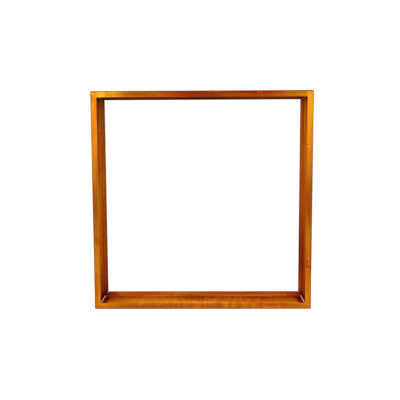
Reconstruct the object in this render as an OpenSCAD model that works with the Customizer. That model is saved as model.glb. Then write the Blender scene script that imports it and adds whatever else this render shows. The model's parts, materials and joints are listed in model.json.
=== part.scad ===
// Floating frame.
// Four deep boards are mitred into an open box. A thin stop strip is pinned round the inside of
// the rear half, so that a panel stands against it with an even gap all round. The back carries
// two ring hangers and two bumpers.
// Millimetres. X runs along the width, -Y is the front, +Z is up, and the origin is the centre
// of the face that the frame stands on.

/* [Rails] */
// Outside width of the frame
frame_w = 330; // [200:5:500]
// Outside height of the frame
frame_h = 330; // [200:5:500]
// Depth of the rails from front to back
rail_depth = 63.5; // [50:0.5:90]
// Thickness of the rail boards
rail_t = 9.5; // [8:0.5:14]
// Rounding of the outer front arris
front_arris_r = 1.4; // [0.4:0.1:2.4]
// Rounding of the arris round the recess
inner_arris_r = 0.8; // [0.3:0.1:1.5]
// Rounding of the outer back arris
back_arris_r = 0.9; // [0.3:0.1:2]

/* [Stop strips] */
// Thickness of the strips, which is how far they stand in from the rails
stop_t = 2.4; // [1.8:0.1:4]
// Depth of the strips, flush with the back of the rails
stop_depth = 25.4; // [15:0.1:38]
// Rounding of the front arris of the strips
stop_arris_r = 0.5; // [0.2:0.1:1]

/* [Stop brads] */
// Brads in each strip
brad_count = 4; // [2:1:6]
// Distance of the end brads from the neighbouring rails
brad_end_inset = 25.4; // [15:0.1:40]
// Distance of the brads behind the front of the strip
brad_edge = 1.8; // [1.5:0.1:8]
// Length of a brad under its head
brad_len = 9; // [6:0.5:9.5]
// Shank diameter of a brad
brad_d = 1.2; // [0.8:0.1:1.6]
// Head diameter of a brad
brad_head_d = 2.1; // [1.8:0.1:2.8]
// Head thickness of a brad
brad_head_t = 0.4; // [0.2:0.1:0.8]

/* [Corner joints] */
// Height of a V nail, which is how deep it is driven
vnail_len = 10; // [7:1:15]
// V nails driven one on the other in each corner
vnail_stack = 2; // [1:1:2]
// Length of each leg of the V
vnail_leg = 5; // [3.5:0.5:8]
// Sheet thickness of the V nails
vnail_sheet = 0.5; // [0.3:0.1:0.8]
// Length of the lip at the end of each leg
vnail_lip = 1; // [0.6:0.1:1.5]
// How deep the V nails are punched below the back of the rails
vnail_set = 0.6; // [0.2:0.1:2]
// Gap left between one V nail and the next
vnail_gap = 0.1; // [0.05:0.05:0.3]
// Leg of the glue bead that shows in each corner of the recess
bead_leg = 1.1; // [0.5:0.1:2]

/* [Ring hangers] */
// Height of the ring pivots below the top of the frame
hanger_drop = 82; // [50:1:120]
// Width of the strap
strap_w = 7.5; // [5:0.5:9]
// Sheet thickness of the strap, which is folded double
strap_sheet = 0.7; // [0.5:0.1:1]
// Wire diameter of the ring
ring_wire_d = 1.6; // [1.2:0.1:2.2]
// Straight part of the sides of the ring
ring_leg = 4; // [2:0.5:8]
// Radial clearance of the wire in the rolled eye
eye_gap = 0.08; // [0.04:0.01:0.1]
// Clearance between the strap and each side of the ring
ring_side_gap = 0.35; // [0.2:0.05:0.8]
// Clearance between the strap and the ring that leans on it
ring_rest_gap = 0.3; // [0.2:0.05:0.6]
// Clearance between the ring and the screw head
ring_screw_gap = 1.2; // [0.5:0.1:4]
// Thread diameter of the strap screw
screw_d = 2.9; // [2.2:0.1:3.5]
// Length of the strap screw under its head
screw_len = 13; // [9:0.5:20]
// Head diameter of the strap screw
screw_head_d = 5.4; // [5:0.1:6.5]
// Head height of the strap screw
screw_head_h = 1.7; // [1.2:0.1:2.4]
// Clearance of the screw in the strap's hole
screw_hole_gap = 0.15; // [0.05:0.05:0.3]

/* [Bumpers] */
// Diameter of a bumper
bumper_d = 9.5; // [6:0.5:10]
// Height of a bumper
bumper_h = 3.6; // [2:0.1:6]
// Rounding of the bumper's rim
bumper_rim_r = 1.4; // [0.5:0.1:1.8]
// Height of the bumpers above the bottom of the frame
bumper_up = 16; // [12:1:60]

/* [Hidden] */
$fn = 48;

// Length by which a cutting shape runs past what it cuts
over = 1;

// Planes across the depth
front_y = -rail_depth / 2;
back_y = rail_depth / 2;
stop_front_y = back_y - stop_depth;

// Each strip runs between the inner faces of the rails
inner_face = rail_t + stop_t;
band_mid = inner_face / 2;

brad_y = stop_front_y + brad_edge;
brad_pitch_share = 1 / (brad_count - 1);

// The V nails straddle the mitre in the middle of the boards
vnail_apex = rail_t / 2;
vnail_back_y = back_y - vnail_set;
vnail_pitch = vnail_len + vnail_gap;

// The ring hangs from the rolled eye of the strap and leans on the folded sheet
wire_r = ring_wire_d / 2;
eye_r = wire_r + eye_gap;
eye_outer_r = eye_r + strap_sheet;
strap_t = 2 * strap_sheet;
ring_half_w = strap_w / 2 + ring_side_gap + wire_r;
ring_drop = ring_leg + ring_half_w;
ring_tilt = asin((strap_t + ring_rest_gap + wire_r - eye_outer_r) / ring_drop);
screw_drop = ring_drop + wire_r + ring_screw_gap + screw_head_d / 2;
hanger_z = frame_h - hanger_drop;

screw_tip_len = 1.2 * screw_d;
screw_dome_r = 1.1 * screw_head_d;
recess_slot_w = 0.16 * screw_head_d;
recess_slot_len = 0.62 * screw_head_d;
recess_slot_deep = 0.45 * screw_head_h;

wood_colour = [0.72, 0.36, 0.10];
stop_colour = [0.64, 0.28, 0.08];
steel_colour = [0.72, 0.72, 0.70];
brass_colour = [0.83, 0.68, 0.38];
glue_colour = [0.90, 0.72, 0.66];
bumper_colour = [0.80, 0.80, 0.78];

// Waste outside a rounding of radius r, for a square corner at the origin
module arris_waste(r) {
    difference() {
        translate([-over, -over]) square(r + over);
        translate([r, r]) circle(r);
    }
}

// Section of a rail: depth along x, thickness up from the outer face along y
module rail_section() {
    difference() {
        translate([front_y, 0]) square([rail_depth, rail_t]);
        translate([front_y, 0]) arris_waste(front_arris_r);
        translate([front_y, rail_t]) mirror([0, 1]) arris_waste(inner_arris_r);
        translate([back_y, 0]) mirror([1, 0]) arris_waste(back_arris_r);
    }
}

// Section of a stop strip, with only the arris that faces the recess rounded
module stop_section() {
    difference() {
        translate([stop_front_y, 0]) square([stop_depth, stop_t]);
        translate([stop_front_y, stop_t]) mirror([0, 1]) arris_waste(stop_arris_r);
    }
}

// A length of a section along X, cut at 45 degrees at both ends
module mitred(length, thickness) {
    intersection() {
        translate([-length / 2, 0, 0]) rotate([90, 0, 90]) linear_extrude(length) children();
        rotate([90, 0, 0]) linear_extrude(rail_depth + 2 * over, center = true)
            polygon([
                [-length / 2, 0], [length / 2, 0],
                [length / 2 - thickness, thickness], [thickness - length / 2, thickness]
            ]);
    }
}

// Places for the brads of the strip on a rail of the given length
module brad_places(length) {
    reach = length / 2 - rail_t - brad_end_inset;
    for (i = [0 : brad_count - 1])
        translate([reach * (2 * i * brad_pitch_share - 1), brad_y, inner_face]) children();
}

module brad_shank() {
    translate([0, 0, -brad_len]) cylinder(d = brad_d, h = brad_len);
}

module brad() {
    brad_shank();
    cylinder(d = brad_head_d, h = brad_head_t);
}

// Section of a V nail in a corner whose two boards run along +x and +y
module v_section() {
    half = vnail_sheet / 2;
    start = vnail_apex - half;
    translate([start, start]) square([vnail_leg, vnail_sheet]);
    translate([start, start]) square([vnail_sheet, vnail_leg]);
    translate([start + vnail_leg - vnail_sheet, start - vnail_lip]) square([vnail_sheet, vnail_lip]);
    translate([start - vnail_lip, start + vnail_leg - vnail_sheet]) square([vnail_lip, vnail_sheet]);
}

// The V section driven in from the back, from the depth y_from up to the depth y_to
module v_driven(y_from, y_to) {
    translate([0, y_to, 0]) rotate([90, 0, 0]) linear_extrude(y_to - y_from) v_section();
}

module v_slot() {
    v_driven(vnail_back_y + vnail_gap - vnail_stack * vnail_pitch, back_y + over);
}

module v_nails() {
    for (i = [0 : vnail_stack - 1])
        v_driven(vnail_back_y - i * vnail_pitch - vnail_len, vnail_back_y - i * vnail_pitch);
}

// Glue squeezed out of the mitre, from the rounded arris back to the stop
module glue_bead() {
    bead_front_y = front_y + inner_arris_r;
    translate([rail_t, stop_front_y, rail_t]) rotate([90, 0, 0])
        linear_extrude(stop_front_y - bead_front_y)
            polygon([[0, 0], [bead_leg, 0], [0, bead_leg]]);
}

// Rail along X with its outer face down, slotted for the V nails and the brads
module rail(length) {
    difference() {
        mitred(length, rail_t) rail_section();
        brad_places(length) brad_shank();
        translate([-length / 2, 0, 0]) v_slot();
        mirror([1, 0, 0]) translate([-length / 2, 0, 0]) v_slot();
    }
}

module stop_strip(length) {
    difference() {
        translate([0, 0, rail_t]) mitred(length - 2 * rail_t, stop_t) stop_section();
        brad_places(length) brad_shank();
    }
}

// The four sides: what is built on the bottom rail is turned onto each of them
module on_bottom() {
    children();
}

module on_top() {
    translate([0, 0, frame_h]) rotate([0, 180, 0]) children();
}

module on_left() {
    translate([-frame_w / 2, 0, frame_h / 2]) rotate([0, 90, 0]) children();
}

module on_right() {
    translate([frame_w / 2, 0, frame_h / 2]) rotate([0, -90, 0]) children();
}

// The corners: what is built in the bottom left one is mirrored into the others
module in_bottom_left() {
    translate([-frame_w / 2, 0, 0]) children();
}

module in_bottom_right() {
    mirror([1, 0, 0]) in_bottom_left() children();
}

module in_top_left() {
    translate([0, 0, frame_h]) mirror([0, 0, 1]) in_bottom_left() children();
}

module in_top_right() {
    mirror([1, 0, 0]) in_top_left() children();
}

// The back of the two side rails: x = 0 is the middle of the band, y = 0 the back face
module on_left_back(z) {
    translate([band_mid - frame_w / 2, back_y, z]) children();
}

module on_right_back(z) {
    translate([frame_w / 2 - band_mid, back_y, z]) children();
}

// Cylinder across the strap, on the axis that the ring turns on
module across_eye(r, length) {
    translate([0, eye_outer_r, 0]) rotate([0, 90, 0]) cylinder(r = r, h = length, center = true);
}

module hanger_strap() {
    difference() {
        union() {
            translate([-strap_w / 2, 0, -screw_drop]) cube([strap_w, strap_t, screw_drop]);
            translate([0, strap_t, -screw_drop]) rotate([90, 0, 0])
                cylinder(d = strap_w, h = strap_t);
            across_eye(eye_outer_r, strap_w);
        }
        across_eye(eye_r, strap_w + 2 * over);
        translate([0, strap_t + over, -screw_drop]) rotate([90, 0, 0])
            cylinder(d = screw_d + 2 * screw_hole_gap, h = strap_t + 2 * over);
    }
}

// D ring about its own pivot, hanging straight down
module d_ring() {
    rotate([0, 90, 0]) cylinder(r = wire_r, h = 2 * ring_half_w, center = true);
    for (side = [-1, 1]) translate([side * ring_half_w, 0, 0]) {
        sphere(r = wire_r);
        translate([0, 0, -ring_leg]) cylinder(r = wire_r, h = ring_leg);
    }
    translate([0, 0, -ring_leg]) rotate([-90, 0, 0])
        rotate_extrude(angle = 180) translate([ring_half_w, 0]) circle(wire_r);
}

module hanger_ring() {
    translate([0, eye_outer_r, 0]) rotate([ring_tilt, 0, 0]) d_ring();
}

// Screw pointing down, with the underside of its head at z = 0
module screw_shank() {
    translate([0, 0, screw_tip_len - screw_len])
        cylinder(d = screw_d, h = screw_len - screw_tip_len);
    translate([0, 0, -screw_len]) cylinder(d1 = 0.2 * screw_d, d2 = screw_d, h = screw_tip_len);
}

module screw() {
    screw_shank();
    difference() {
        rotate_extrude() intersection() {
            square([screw_head_d / 2, screw_head_h]);
            translate([0, screw_head_h - screw_dome_r]) circle(screw_dome_r);
        }
        for (turn = [0, 90]) rotate([0, 0, turn])
            translate([0, 0, screw_head_h])
                cube([recess_slot_len, recess_slot_w, 2 * recess_slot_deep], center = true);
    }
}

// Puts the screw through the strap, pointing into the rail
module in_strap_hole() {
    translate([0, strap_t, -screw_drop]) rotate([-90, 0, 0]) children();
}

module bumper() {
    rotate([-90, 0, 0]) rotate_extrude() difference() {
        square([bumper_d / 2, bumper_h]);
        translate([bumper_d / 2, bumper_h]) mirror([1, 0]) mirror([0, 1])
            arris_waste(bumper_rim_r);
    }
}

module top_rail() {
    color(wood_colour) on_top() rail(frame_w);
}

module bottom_rail() {
    color(wood_colour) on_bottom() rail(frame_w);
}

module left_rail() {
    color(wood_colour) difference() {
        on_left() rail(frame_h);
        on_left_back(hanger_z) in_strap_hole() screw_shank();
    }
}

module right_rail() {
    color(wood_colour) difference() {
        on_right() rail(frame_h);
        on_right_back(hanger_z) in_strap_hole() screw_shank();
    }
}

module top_stop() {
    color(stop_colour) on_top() stop_strip(frame_w);
}

module bottom_stop() {
    color(stop_colour) on_bottom() stop_strip(frame_w);
}

module left_stop() {
    color(stop_colour) on_left() stop_strip(frame_h);
}

module right_stop() {
    color(stop_colour) on_right() stop_strip(frame_h);
}

module top_stop_brads() {
    color(brass_colour) on_top() brad_places(frame_w) brad();
}

module bottom_stop_brads() {
    color(brass_colour) on_bottom() brad_places(frame_w) brad();
}

module left_stop_brads() {
    color(brass_colour) on_left() brad_places(frame_h) brad();
}

module right_stop_brads() {
    color(brass_colour) on_right() brad_places(frame_h) brad();
}

module top_left_v_nails() {
    color(steel_colour) in_top_left() v_nails();
}

module top_right_v_nails() {
    color(steel_colour) in_top_right() v_nails();
}

module bottom_left_v_nails() {
    color(steel_colour) in_bottom_left() v_nails();
}

module bottom_right_v_nails() {
    color(steel_colour) in_bottom_right() v_nails();
}

module top_left_glue_bead() {
    color(glue_colour) in_top_left() glue_bead();
}

module top_right_glue_bead() {
    color(glue_colour) in_top_right() glue_bead();
}

module bottom_left_glue_bead() {
    color(glue_colour) in_bottom_left() glue_bead();
}

module bottom_right_glue_bead() {
    color(glue_colour) in_bottom_right() glue_bead();
}

module left_hanger_strap() {
    color(steel_colour) on_left_back(hanger_z) hanger_strap();
}

module right_hanger_strap() {
    color(steel_colour) on_right_back(hanger_z) hanger_strap();
}

module left_hanger_ring() {
    color(steel_colour) on_left_back(hanger_z) hanger_ring();
}

module right_hanger_ring() {
    color(steel_colour) on_right_back(hanger_z) hanger_ring();
}

module left_hanger_screw() {
    color(steel_colour) on_left_back(hanger_z) in_strap_hole() screw();
}

module right_hanger_screw() {
    color(steel_colour) on_right_back(hanger_z) in_strap_hole() screw();
}

module left_bumper() {
    color(bumper_colour) on_left_back(bumper_up) bumper();
}

module right_bumper() {
    color(bumper_colour) on_right_back(bumper_up) bumper();
}

top_rail();
bottom_rail();
left_rail();
right_rail();
top_stop();
bottom_stop();
left_stop();
right_stop();
top_stop_brads();
bottom_stop_brads();
left_stop_brads();
right_stop_brads();
top_left_v_nails();
top_right_v_nails();
bottom_left_v_nails();
bottom_right_v_nails();
top_left_glue_bead();
top_right_glue_bead();
bottom_left_glue_bead();
bottom_right_glue_bead();
left_hanger_strap();
right_hanger_strap();
left_hanger_ring();
right_hanger_ring();
left_hanger_screw();
right_hanger_screw();
left_bumper();
right_bumper();
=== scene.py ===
"""Floating frame: the finish, the small hardware and the stage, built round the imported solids.

Metres throughout. X runs along the width, -Y is the front and +Z is up. A board is built lying
on the bottom side, x along its length, y through the depth and z inwards from its outer face,
and is then turned onto its own side of the frame.
"""

import json
import math
from collections import namedtuple

import bmesh
import bpy
from bpy.props import FloatProperty, FloatVectorProperty, IntProperty, PointerProperty
from mathutils import Matrix, Vector, noise
from mathutils.geometry import interpolate_bezier


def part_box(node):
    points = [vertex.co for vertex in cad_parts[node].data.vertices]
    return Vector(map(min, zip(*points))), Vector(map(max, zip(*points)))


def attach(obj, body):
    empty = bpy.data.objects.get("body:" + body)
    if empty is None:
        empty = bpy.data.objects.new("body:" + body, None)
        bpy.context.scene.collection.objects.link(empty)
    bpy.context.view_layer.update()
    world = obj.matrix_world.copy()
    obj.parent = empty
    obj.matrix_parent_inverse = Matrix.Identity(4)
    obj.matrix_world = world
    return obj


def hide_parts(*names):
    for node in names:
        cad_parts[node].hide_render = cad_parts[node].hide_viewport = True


bl_info = {
    "name": "Floating Frame",
    "version": (1, 0, 0),
    "blender": (4, 5, 0),
    "location": "3D View > Sidebar > Floating Frame",
    "description": "Builds a varnished floating frame with its stop strips, brads and hangers",
    "category": "Object",
}

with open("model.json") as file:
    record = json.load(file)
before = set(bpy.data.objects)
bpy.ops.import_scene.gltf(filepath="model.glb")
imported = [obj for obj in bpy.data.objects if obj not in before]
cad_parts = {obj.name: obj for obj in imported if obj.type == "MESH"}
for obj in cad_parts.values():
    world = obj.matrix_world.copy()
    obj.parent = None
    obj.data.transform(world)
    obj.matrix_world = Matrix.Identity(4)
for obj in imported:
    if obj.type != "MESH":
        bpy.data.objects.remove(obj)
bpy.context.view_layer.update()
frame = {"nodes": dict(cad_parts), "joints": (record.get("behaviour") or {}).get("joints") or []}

MM = 0.001
# How far from a face a point may lie and still count as in it, and as just off it.
FLUSH = 0.01 * MM
HAIR = 0.05 * MM
SIDE_NAMES = ("top", "bottom", "left", "right")
CORNER_NAMES = ("top_left", "top_right", "bottom_left", "bottom_right")
HAND_NAMES = ("left", "right")


# ---------------------------------------------------------------- sizes read from the frame

def extent(node, axis):
    """Lowest and highest place of a node along x, y or z."""
    low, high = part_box(node)
    return getattr(low, axis), getattr(high, axis)


def span(node, axis):
    """Size of a node along x, y or z."""
    low, high = extent(node, axis)
    return high - low


def centre(node):
    """Middle of a node's box."""
    low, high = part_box(node)
    return (low + high) / 2


FRAME_W = span("bottom_rail", "x")
FRAME_H = span("left_rail", "z")
FRONT_Y, BACK_Y = extent("bottom_rail", "y")
RAIL_T = span("bottom_rail", "z")
STOP_FRONT_Y = extent("bottom_stop", "y")[0]
RECESS = STOP_FRONT_Y - FRONT_Y
STOP_T = span("bottom_stop", "z")
INNER_FACE = RAIL_T + STOP_T

# The length of each side, and the turn of a board from the bottom side onto its own.
SIDE_LENGTH = {"top": FRAME_W, "bottom": FRAME_W, "left": FRAME_H, "right": FRAME_H}
SIDE_PLACE = {
    "bottom": Matrix.Identity(4),
    "top": Matrix.Translation((0, 0, FRAME_H)) @ Matrix.Rotation(math.pi, 4, "Y"),
    "left": Matrix.Translation((-FRAME_W / 2, 0, FRAME_H / 2))
    @ Matrix.Rotation(math.pi / 2, 4, "Y"),
    "right": Matrix.Translation((FRAME_W / 2, 0, FRAME_H / 2))
    @ Matrix.Rotation(-math.pi / 2, 4, "Y"),
}


# ---------------------------------------------------------------- settings

def length(name, description, default):
    """A setting in metres."""
    return FloatProperty(
        name=name, description=description, default=default, min=0.0,
        unit="LENGTH", subtype="DISTANCE", precision=5,
    )


def share(name, description, default):
    """A setting from 0 to 1."""
    return FloatProperty(
        name=name, description=description, default=default, min=0.0, max=1.0,
        subtype="FACTOR",
    )


def colour(name, description, default):
    """A setting that is a colour."""
    return FloatVectorProperty(
        name=name, description=description, default=default, size=3, min=0.0, max=1.0,
        subtype="COLOR",
    )


def power(name, description, default):
    """A setting in watts."""
    return FloatProperty(
        name=name, description=description, default=default, min=0.0, unit="POWER",
    )


class FrameSizes(bpy.types.PropertyGroup):
    """Sizes of the small shapes that the frame's boxes do not give"""

    front_arris: length("Front arris", "Rounding of the outer front edge", 1.4 * MM)
    inner_arris: length("Inner arris", "Rounding of the edge round the recess", 0.8 * MM)
    back_arris: length("Back arris", "Rounding of the outer back edge", 0.9 * MM)
    sharp_arris: length("Sharp arris", "Easing of edges that were only wiped", 0.12 * MM)
    stop_arris: length("Stop arris", "Rounding of the front edge of a strip", 0.5 * MM)
    mitre_groove: length("Mitre groove", "Depth of the hairline along a mitre", 0.12 * MM)
    corner_round: length("Corner round", "Rounding of the outer corners", 1.8 * MM)
    board_step: length("Board step", "Spacing of the rings along a board", 2.0 * MM)
    nail_sheet: length("Nail sheet", "Sheet thickness of the V nails", 0.5 * MM)
    nail_lip: length("Nail lip", "Length of the lip of a V nail", 1.0 * MM)
    strap_sheet: length("Strap sheet", "Sheet thickness of the hanger straps", 0.7 * MM)
    brad_shank: length("Brad shank", "Shank diameter of a brad", 1.2 * MM)
    brad_head: length("Brad head", "Thickness of the head of a brad", 0.4 * MM)
    screw_shank: length("Screw shank", "Thread diameter of the strap screws", 2.9 * MM)
    screw_pitch: length("Screw pitch", "Pitch of the screw thread", 1.1 * MM)
    bumper_rim: length("Bumper rim", "Rounding of the rim of a bumper", 1.4 * MM)
    brads_per_strip: IntProperty(
        name="Brads", description="Brads in each strip", default=4, min=2, max=6
    )


class FrameFinish(bpy.types.PropertyGroup):
    """Colours of the wood, the metal and the glue"""

    # Deep is also the colour that the painted shade at the inside corners leads towards.
    deep: colour("Deep", "Wood where the stain has pooled", (0.10, 0.010, 0.001))
    russet: colour("Russet", "Wood in the shade of the corners", (0.25, 0.031, 0.0015))
    red_amber: colour("Red amber", "Wood at its reddest", (0.40, 0.075, 0.002))
    amber: colour("Amber", "Wood over most of the frame", (0.53, 0.14, 0.0035))
    honey: colour("Honey", "Wood where the stain is thin", (0.75, 0.22, 0.006))
    # The two palest colours also paint the highlights and glints near the upper corners.
    pale: colour("Pale honey", "Wood that is nearly bare of stain", (0.95, 0.38, 0.011))
    straw: colour("Straw", "Wood at its palest", (1.0, 0.60, 0.03))
    # Grime is also the colour of the painted shade in the seams, under the top rail and along the
    # outer front edge.
    grime: colour("Grime", "Dirt and old finish along the edges", (0.075, 0.032, 0.004))
    gloss: share("Gloss", "Strength of the varnish coat", 0.007)
    rubbed_gloss: share("Rubbed gloss", "Strength of the coat on rubbed edges", 0.35)
    brass: colour("Brass", "Brads that were rubbed bright", (0.82, 0.28, 0.08))
    dull_brass: colour("Dull brass", "Brads under old varnish", (0.26, 0.12, 0.035))
    nickel: colour("Nickel", "Straps and rings", (0.70, 0.69, 0.66))
    zinc: colour("Zinc", "Hanger screws", (0.62, 0.63, 0.64))
    steel: colour("Steel", "V nails", (0.40, 0.40, 0.40))
    glue: colour("Glue", "Beads of dried glue", (1.0, 0.47, 0.39))
    # On the upper beads this dark colour is also painted shade under the top rail.
    varnished_glue_in_shade: colour("Varnished glue", "Glue under the finish", (0.16, 0.02, 0.003))
    rubber: colour("Bumper", "Clear grey bumpers", (0.62, 0.62, 0.60))


class FrameStage(bpy.types.PropertyGroup):
    """Floor, lamps and camera"""

    floor_size: length("Floor size", "Side of the floor", 14.0)
    floor_colour: colour("Floor", "Colour of the floor", (0.36, 0.36, 0.36))
    floor_lift: share("Floor lift", "White added to the floor as it is seen", 0.70)
    room_light: FloatProperty(
        name="Room light", description="Strength of the even light of the room",
        default=0.90, min=0.0,
    )
    top_lamp: power("Top lamp", "Lamp over the front of the frame", 9.0)
    side_lamp: power("Side lamps", "Each of the two lamps beside the frame", 3.0)
    camera_place: FloatVectorProperty(
        name="Camera", description="Place of the camera", size=3, subtype="TRANSLATION",
        default=(0.0124, -1.0603, 0.2882),
    )
    camera_turn: FloatVectorProperty(
        name="Camera turn", description="Rotation of the camera", size=3, subtype="EULER",
        default=(math.radians(83.317), math.radians(0.266), math.radians(0.844)),
    )
    lens: FloatProperty(
        name="Lens", description="Focal length in millimetres on a 36 mm sensor",
        default=62.16, min=1.0,
    )


# ---------------------------------------------------------------- helpers

def eased(value, low, high):
    """0 below the low value, 1 above the high one and a smooth change between them."""
    s = min(1.0, max(0.0, (value - low) / (high - low)))
    return s * s * (3 - 2 * s)


def blend(a, b, part):
    """The first value where the part is 0, the second where it is 1, and a mix between."""
    return a + (b - a) * part


def hump(value, width):
    """1 at zero, falling away smoothly on both sides."""
    return math.exp(-((value / width) ** 2))


def arc(middle, radius, start, end, steps):
    """Points of an arc in a plane, with angles in degrees."""
    found = []
    for i in range(steps + 1):
        turn = math.radians(blend(start, end, i / steps))
        found.append((middle[0] + radius * math.cos(turn), middle[1] + radius * math.sin(turn)))
    return found


def circle(radius, around):
    """Points of a whole circle in a plane."""
    return arc((0, 0), radius, 0, 360, around)[:-1]


def refined(path, step):
    """The same line with no two neighbours further apart than the step."""
    found = [path[0]]
    for point in path[1:]:
        a, b = Vector(found[-1]), Vector(point)
        pieces = max(1, math.ceil((b - a).length / step))
        found += [tuple(a.lerp(b, i / pieces)) for i in range(1, pieces + 1)]
    return found


def heading_at(path, i):
    """Direction of a line of points at one of them."""
    before, after = path[max(i - 1, 0)], path[min(i + 1, len(path) - 1)]
    return (Vector(after) - Vector(before)).normalized()


def out_of_back(x, y, z):
    """Places a turned shape on the back, its own z axis pointing away from the front."""
    return Matrix.Translation((x, y, z)) @ Matrix.Rotation(-math.pi / 2, 4, "X")


# Angle in degrees from which an edge stays sharp.
SHARP_ABOVE = 40.0


def make_object(name, points, faces, place=None, sharp_above=SHARP_ABOVE):
    """A mesh object from points and faces, its place written into its points."""
    mesh = bpy.data.meshes.new(name)
    mesh.from_pydata([tuple(p) for p in points], [], faces)
    if place is not None:
        mesh.transform(place)
        if place.determinant() < 0:
            mesh.flip_normals()
    mesh.shade_smooth()
    mesh.set_sharp_from_angle(angle=math.radians(sharp_above))
    mesh.validate()
    obj = bpy.data.objects.new(name, mesh)
    bpy.context.scene.collection.objects.link(obj)
    return obj


def ring_faces(rings, around):
    """Faces between rings of points that follow one another, and a cap on each end."""
    faces = []
    for i in range(rings - 1):
        a, b = i * around, (i + 1) * around
        for j in range(around):
            k = (j + 1) % around
            faces.append((a + j, a + k, b + k, b + j))
    faces.append(tuple(reversed(range(around))))
    faces.append(tuple(range((rings - 1) * around, rings * around)))
    return faces


def weld(obj, distance):
    """Makes one point of points that lie almost on one another."""
    shapes = bmesh.new()
    shapes.from_mesh(obj.data)
    bmesh.ops.remove_doubles(shapes, verts=shapes.verts, dist=distance)
    shapes.to_mesh(obj.data)
    shapes.free()


def closed_volume(mesh):
    """Volume inside a mesh, which has to be closed."""
    shapes = bmesh.new()
    shapes.from_mesh(mesh)
    volume = shapes.calc_volume(signed=True)
    closed = all(edge.is_manifold for edge in shapes.edges)
    shapes.free()
    if not closed:
        raise RuntimeError(mesh.name + " has open edges")
    return volume


def cut_away(obj, cutters):
    """Cuts closed shapes out of an object for good, which has to stay nearly whole."""
    for cutter in cutters:
        cut = obj.modifiers.new("cut", "BOOLEAN")
        cut.operation = "DIFFERENCE"
        cut.solver = "MANIFOLD"
        cut.object = cutter
    bpy.context.view_layer.update()
    graph = bpy.context.evaluated_depsgraph_get()
    mesh = bpy.data.meshes.new_from_object(obj.evaluated_get(graph))
    whole, left = closed_volume(obj.data), closed_volume(mesh)
    if not 0.9 * whole < left < whole:
        raise RuntimeError("the cut of " + obj.name + " failed")
    mesh.set_sharp_from_angle(angle=math.radians(SHARP_ABOVE))
    obj.modifiers.clear()
    obj.data = mesh
    for cutter in cutters:
        bpy.data.objects.remove(cutter)


def joined(name, parts):
    """Several mesh objects as one, under a new name."""
    mesh = bpy.data.meshes.new(name)
    shapes = bmesh.new()
    for part in parts:
        shapes.from_mesh(part.data)
        bpy.data.objects.remove(part)
    shapes.to_mesh(mesh)
    shapes.free()
    obj = bpy.data.objects.new(name, mesh)
    bpy.context.scene.collection.objects.link(obj)
    return obj


def dress(obj, material, body, slot, *nodes):
    """Gives a piece its finish, and sets it on its body in place of its solids."""
    obj.data.materials.clear()
    obj.data.materials.append(material)
    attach(obj, body)
    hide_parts(*nodes)


def lathe(profile, around=32):
    """Points and faces of a turned shape from (radius, height) pairs, both ends on the axis."""
    points = [(0.0, 0.0, profile[0][1])]
    for radius, height in profile[1:-1]:
        points += [(x, y, height) for x, y in circle(radius, around)]
    points.append((0.0, 0.0, profile[-1][1]))
    return points, pole_faces(len(profile) - 2, around)


def pole_faces(rings, around):
    """Faces of a shape with a pole, some rings and another pole, seen from outside."""
    last = 1 + rings * around
    faces = []
    for j in range(around):
        k = (j + 1) % around
        faces.append((0, 1 + k, 1 + j))
        for i in range(rings - 1):
            a = 1 + i * around
            faces.append((a + j, a + k, a + around + k, a + around + j))
        faces.append((last, last - around + j, last - around + k))
    return faces


# ---------------------------------------------------------------- boards

# How finely the section of a board is divided: round an edge, through the depth and through
# the thickness, with a point this near each edge and some where the strip meets the wall.
ARC_STEPS = 5
DEPTH_STEPS = 14
THICKNESS_STEPS = 6
NEAR_EDGE = 0.4 * MM
ROUND_SEAM = (-4.0 * MM, -2.4 * MM, -1.2 * MM, -0.4 * MM, 0.2 * MM)

# How much the rounding of the edges varies along a board, as a share, and over what distance.
WEAR = 0.22
WEAR_REACH = 30 * MM

# The knock on the top rail's front edge: how much rounder it is there, how far it lies from
# the right end as the frame is seen, and how far it reaches.
KNOCK = 0.7
KNOCK_PLACE = 80 * MM
KNOCK_REACH = 4 * MM


def straight(start, end, steps, extra_y=()):
    """Points between two corners of a section, with one close to each end."""
    a, b = Vector(start), Vector(end)
    run = (b - a).length
    places = [NEAR_EDGE / run, *[i / steps for i in range(1, steps)], 1 - NEAR_EDGE / run]
    places += [(y - a.x) / (b.x - a.x) for y in extra_y]
    return [tuple(a.lerp(b, s)) for s in sorted(places) if 0 < s < 1]


def board_section(y_range, z_range, radii):
    """Section of a board as (y, z) points.

    radii are those of the front outer, back outer, back inner and front inner edges.
    """
    (y0, y1), (z0, z1) = y_range, z_range
    fo, bo, bi, fi = radii
    front_outer = arc((y0 + fo, z0 + fo), fo, 180, 270, ARC_STEPS)
    back_outer = arc((y1 - bo, z0 + bo), bo, 270, 360, ARC_STEPS)
    back_inner = arc((y1 - bi, z1 - bi), bi, 0, 90, ARC_STEPS)
    front_inner = arc((y0 + fi, z1 - fi), fi, 90, 180, ARC_STEPS)
    seam = [STOP_FRONT_Y + step for step in ROUND_SEAM] if y0 < STOP_FRONT_Y else []
    return [
        *front_outer, *straight(front_outer[-1], back_outer[0], DEPTH_STEPS),
        *back_outer, *straight(back_outer[-1], back_inner[0], THICKNESS_STEPS),
        *back_inner, *straight(back_inner[-1], front_inner[0], DEPTH_STEPS, seam),
        *front_inner, *straight(front_inner[-1], front_outer[0], THICKNESS_STEPS),
    ]


def shrunk(section, inset):
    """The section with each point drawn in along its own normal."""
    found = []
    for i, point in enumerate(section):
        before, after = Vector(section[i - 1]), Vector(section[(i + 1) % len(section)])
        along = (after - before).normalized()
        found.append((point[0] - along.y * inset, point[1] + along.x * inset))
    return found


def unevenness(along, seed):
    """A slow drift between -1 and 1 along a board."""
    return noise.noise(Vector((along / WEAR_REACH, seed * 7.3, seed * 1.9)))


def corner_lift(from_end, radius):
    """How far the rounded outer corner stands back from the outer face."""
    short = max(0.0, radius - from_end)
    return radius - math.sqrt(radius ** 2 - short ** 2)


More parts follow.
